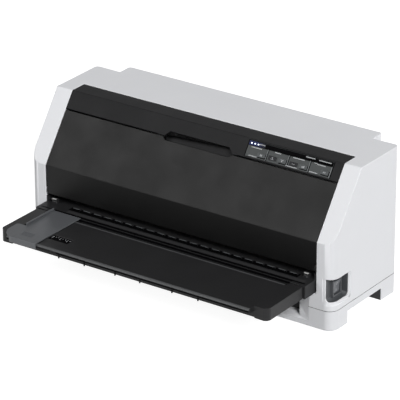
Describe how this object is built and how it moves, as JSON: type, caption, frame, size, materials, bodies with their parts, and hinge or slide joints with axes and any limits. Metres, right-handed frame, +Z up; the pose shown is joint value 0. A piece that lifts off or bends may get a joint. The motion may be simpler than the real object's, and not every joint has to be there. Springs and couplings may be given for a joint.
{
  "type": "dot matrix printer",
  "caption": "Wide flatbed dot matrix printer with a sloping hinged front cover, front paper tray with sliding edge guide, key panel and rear pin tractors.",
  "frame": {"origin": "on the ground under the middle of the whole machine, tray included", "axes": "+X to the operator's right, +Y to the back, +Z up"},
  "size_m": [0.48, 0.289, 0.206],
  "materials": {
    "case": "fine-grained white ABS moulding",
    "black_abs": "fine-grained black ABS moulding",
    "cover_black": "satin black ABS moulding",
    "guide_grey": "smooth grey moulding",
    "panel_film": "printed film",
    "key_grey": "soft key caps",
    "lamp": "clear lamp lens",
    "switch_grey": "grey moulding",
    "zinc_steel": "zinc-plated pressed steel",
    "ground_steel": "ground and polished steel",
    "acetal": "natural acetal",
    "tyre_rubber": "ground rubber",
    "foot_rubber": "moulded rubber",
    "belt_rubber": "neoprene belt",
    "motor_can": "drawn steel can",
    "head_alloy": "black anodised casting",
    "ribbon_black": "styrene cartridge",
    "board_green": "solder-masked board",
    "board_olive": "paper-phenolic board",
    "port_metal": "nickel-plated shells"
  },
  "bodies": {
    "printer": {"lower_case": "case", "upper_case": "case", "control_bezel": "black_abs", "key_panel": "panel_film", "status_lamps": "lamp", "front_frame": "black_abs", "hinge_clips": "zinc_steel", "paper_tray": "black_abs", "base_pan": "zinc_steel", "left_side_frame": "zinc_steel", "right_side_frame": "zinc_steel", "cross_frames": "zinc_steel", "paper_bed": "black_abs", "platen": "tyre_rubber", "carriage_shaft": "ground_steel", "roller_bushes": "acetal", "carriage_motor": "motor_can", "feed_motor": "motor_can", "timing_belt": "belt_rubber", "ribbon_cartridge": "ribbon_black", "logic_board": "board_green", "power_board": "board_olive", "mains_inlet": "black_abs", "data_ports": "port_metal", "switch_housing": "switch_grey", "rubber_feet": "foot_rubber", "case_screws": "zinc_steel", "tractor_rail": "ground_steel"},
    "front_cover": {"front_cover": "cover_black"},
    "edge_guide": {"edge_guide": "guide_grey"},
    "pause_key": {"pause_key": "key_grey"},
    "load_key": {"load_key": "key_grey"},
    "line_feed_key": {"line_feed_key": "key_grey"},
    "tear_off_key": {"tear_off_key": "key_grey"},
    "font_key": {"font_key": "key_grey"},
    "pitch_key": {"pitch_key": "key_grey"},
    "power_rocker": {"power_rocker": "black_abs"},
    "carriage": {"carriage": "black_abs", "print_head": "head_alloy", "ribbon_mask": "zinc_steel"},
    "drive_pulley": {"drive_pulley": "zinc_steel"},
    "idler_pulley": {"idler_pulley": "acetal"},
    "front_feed": {"front_feed_shaft": "ground_steel", "front_feed_tyres": "tyre_rubber"},
    "feed_gear": {"feed_gear": "acetal"},
    "rear_feed": {"rear_feed_shaft": "ground_steel", "rear_feed_tyres": "tyre_rubber"},
    "motor_pinion": {"motor_pinion": "acetal"},
    "front_pinch": {"front_pinch_roller": "acetal"},
    "rear_pinch": {"rear_pinch_roller": "acetal"},
    "tractor_idler": {"tractor_idler": "acetal"},
    "tractor_shaft": {"tractor_shaft": "ground_steel"},
    "left_tractor": {"left_tractor": "switch_grey"},
    "left_sprocket": {"left_sprocket": "acetal"},
    "left_flap": {"left_flap": "switch_grey"},
    "right_tractor": {"right_tractor": "switch_grey"},
    "right_sprocket": {"right_sprocket": "acetal"},
    "right_flap": {"right_flap": "switch_grey"},
    "rear_cover": {"rear_cover": "case"},
    "ribbon_knob": {"ribbon_knob": "ribbon_black"}
  },
  "joints": [
    {"name": "front_cover_hinge", "type": "hinge", "parent": "printer", "child": "front_cover", "pos_m": [0, -0.0205, 0.083], "axis": [1, 0, 0], "range_deg": [0, 80]},
    {"name": "edge_guide_slide", "type": "slide", "parent": "printer", "child": "edge_guide", "axis": [1, 0, 0], "range_m": [0, 0.034]},
    {"name": "pause_key_press", "type": "slide", "parent": "printer", "child": "pause_key", "axis": [0, 0.8112, -0.5848], "range_m": [0, 0.0008], "stiffness_N_per_m": 800},
    {"name": "load_key_press", "type": "slide", "parent": "printer", "child": "load_key", "axis": [0, 0.8112, -0.5848], "range_m": [0, 0.0008], "stiffness_N_per_m": 800},
    {"name": "line_feed_key_press", "type": "slide", "parent": "printer", "child": "line_feed_key", "axis": [0, 0.8112, -0.5848], "range_m": [0, 0.0008], "stiffness_N_per_m": 800},
    {"name": "tear_off_key_press", "type": "slide", "parent": "printer", "child": "tear_off_key", "axis": [0, 0.8112, -0.5848], "range_m": [0, 0.0008], "stiffness_N_per_m": 800},
    {"name": "font_key_press", "type": "slide", "parent": "printer", "child": "font_key", "axis": [0, 0.8112, -0.5848], "range_m": [0, 0.0008], "stiffness_N_per_m": 800},
    {"name": "pitch_key_press", "type": "slide", "parent": "printer", "child": "pitch_key", "axis": [0, 0.8112, -0.5848], "range_m": [0, 0.0008], "stiffness_N_per_m": 800},
    {"name": "power_rocker_tilt", "type": "hinge", "parent": "printer", "child": "power_rocker", "pos_m": [0.2288, -0.00575, 0.0555], "axis": [0, -1, 0], "range_deg": [0, 14]},
    {"name": "carriage_slide", "type": "slide", "parent": "printer", "child": "carriage", "axis": [1, 0, 0], "range_m": [-0.148, 0.148]},
    {"name": "drive_pulley_spin", "type": "hinge", "parent": "printer", "child": "drive_pulley", "pos_m": [0.174, 0.086, 0.138], "axis": [0, 1, 0], "continuous": true},
    {"name": "idler_pulley_spin", "type": "hinge", "parent": "printer", "child": "idler_pulley", "pos_m": [-0.178, 0.086, 0.138], "axis": [0, 1, 0], "continuous": true},
    {"name": "front_feed_spin", "type": "hinge", "parent": "printer", "child": "front_feed", "pos_m": [0, 0.0105, 0.059], "axis": [1, 0, 0], "continuous": true},
    {"name": "feed_gear_spin", "type": "hinge", "parent": "printer", "child": "feed_gear", "pos_m": [0.203, 0.0525, 0.059], "axis": [1, 0, 0], "continuous": true},
    {"name": "rear_feed_spin", "type": "hinge", "parent": "printer", "child": "rear_feed", "pos_m": [0, 0.0945, 0.059], "axis": [1, 0, 0], "continuous": true},
    {"name": "motor_pinion_spin", "type": "hinge", "parent": "printer", "child": "motor_pinion", "pos_m": [0.203, 0.02455, 0.03794], "axis": [1, 0, 0], "continuous": true},
    {"name": "front_pinch_spin", "type": "hinge", "parent": "printer", "child": "front_pinch", "pos_m": [0, 0.0105, 0.0764], "axis": [1, 0, 0], "continuous": true},
    {"name": "rear_pinch_spin", "type": "hinge", "parent": "printer", "child": "rear_pinch", "pos_m": [0, 0.0945, 0.0764], "axis": [1, 0, 0], "continuous": true},
    {"name": "tractor_idler_spin", "type": "hinge", "parent": "printer", "child": "tractor_idler", "pos_m": [0.1918, 0.1125, 0.059], "axis": [1, 0, 0], "continuous": true},
    {"name": "tractor_shaft_spin", "type": "hinge", "parent": "printer", "child": "tractor_shaft", "pos_m": [0, 0.1305, 0.059], "axis": [1, 0, 0], "continuous": true},
    {"name": "left_tractor_slide", "type": "slide", "parent": "printer", "child": "left_tractor", "axis": [1, 0, 0], "range_m": [-0.02, 0.09]},
    {"name": "left_sprocket_spin", "type": "hinge", "parent": "left_tractor", "child": "left_sprocket", "pos_m": [-0.148, 0.1305, 0.059], "axis": [1, 0, 0], "continuous": true},
    {"name": "left_flap_hinge", "type": "hinge", "parent": "left_tractor", "child": "left_flap", "pos_m": [-0.158, 0.1305, 0.0685], "axis": [0, -1, 0], "range_deg": [0, 100]},
    {"name": "right_tractor_slide", "type": "slide", "parent": "printer", "child": "right_tractor", "axis": [1, 0, 0], "range_m": [-0.09, 0.02]},
    {"name": "right_sprocket_spin", "type": "hinge", "parent": "right_tractor", "child": "right_sprocket", "pos_m": [0.148, 0.1305, 0.059], "axis": [1, 0, 0], "continuous": true},
    {"name": "right_flap_hinge", "type": "hinge", "parent": "right_tractor", "child": "right_flap", "pos_m": [0.158, 0.1305, 0.0685], "axis": [0, 1, 0], "range_deg": [0, 100]},
    {"name": "rear_cover_hinge", "type": "hinge", "parent": "printer", "child": "rear_cover", "pos_m": [0, 0.14225, 0.11], "axis": [1, 0, 0], "range_deg": [0, 100]},
    {"name": "ribbon_knob_spin", "type": "hinge", "parent": "printer", "child": "ribbon_knob", "pos_m": [-0.185, 0.0249, 0.124], "axis": [0, 0, 1], "continuous": true}
  ],
  "couplings": [
    {"joint": "drive_pulley_spin", "follows": "carriage_slide", "rad_per_m": -116.28},
    {"joint": "idler_pulley_spin", "follows": "carriage_slide", "rad_per_m": -116.28},
    {"joint": "feed_gear_spin", "follows": "front_feed_spin", "ratio": -0.5},
    {"joint": "rear_feed_spin", "follows": "front_feed_spin", "ratio": 1},
    {"joint": "motor_pinion_spin", "follows": "front_feed_spin", "ratio": 2},
    {"joint": "front_pinch_spin", "follows": "front_feed_spin", "ratio": -1.2667},
    {"joint": "rear_pinch_spin", "follows": "front_feed_spin", "ratio": -1.2667},
    {"joint": "tractor_idler_spin", "follows": "front_feed_spin", "ratio": -1.25},
    {"joint": "tractor_shaft_spin", "follows": "front_feed_spin", "ratio": 1},
    {"joint": "left_sprocket_spin", "follows": "front_feed_spin", "ratio": 1},
    {"joint": "right_sprocket_spin", "follows": "front_feed_spin", "ratio": 1}
  ]
}
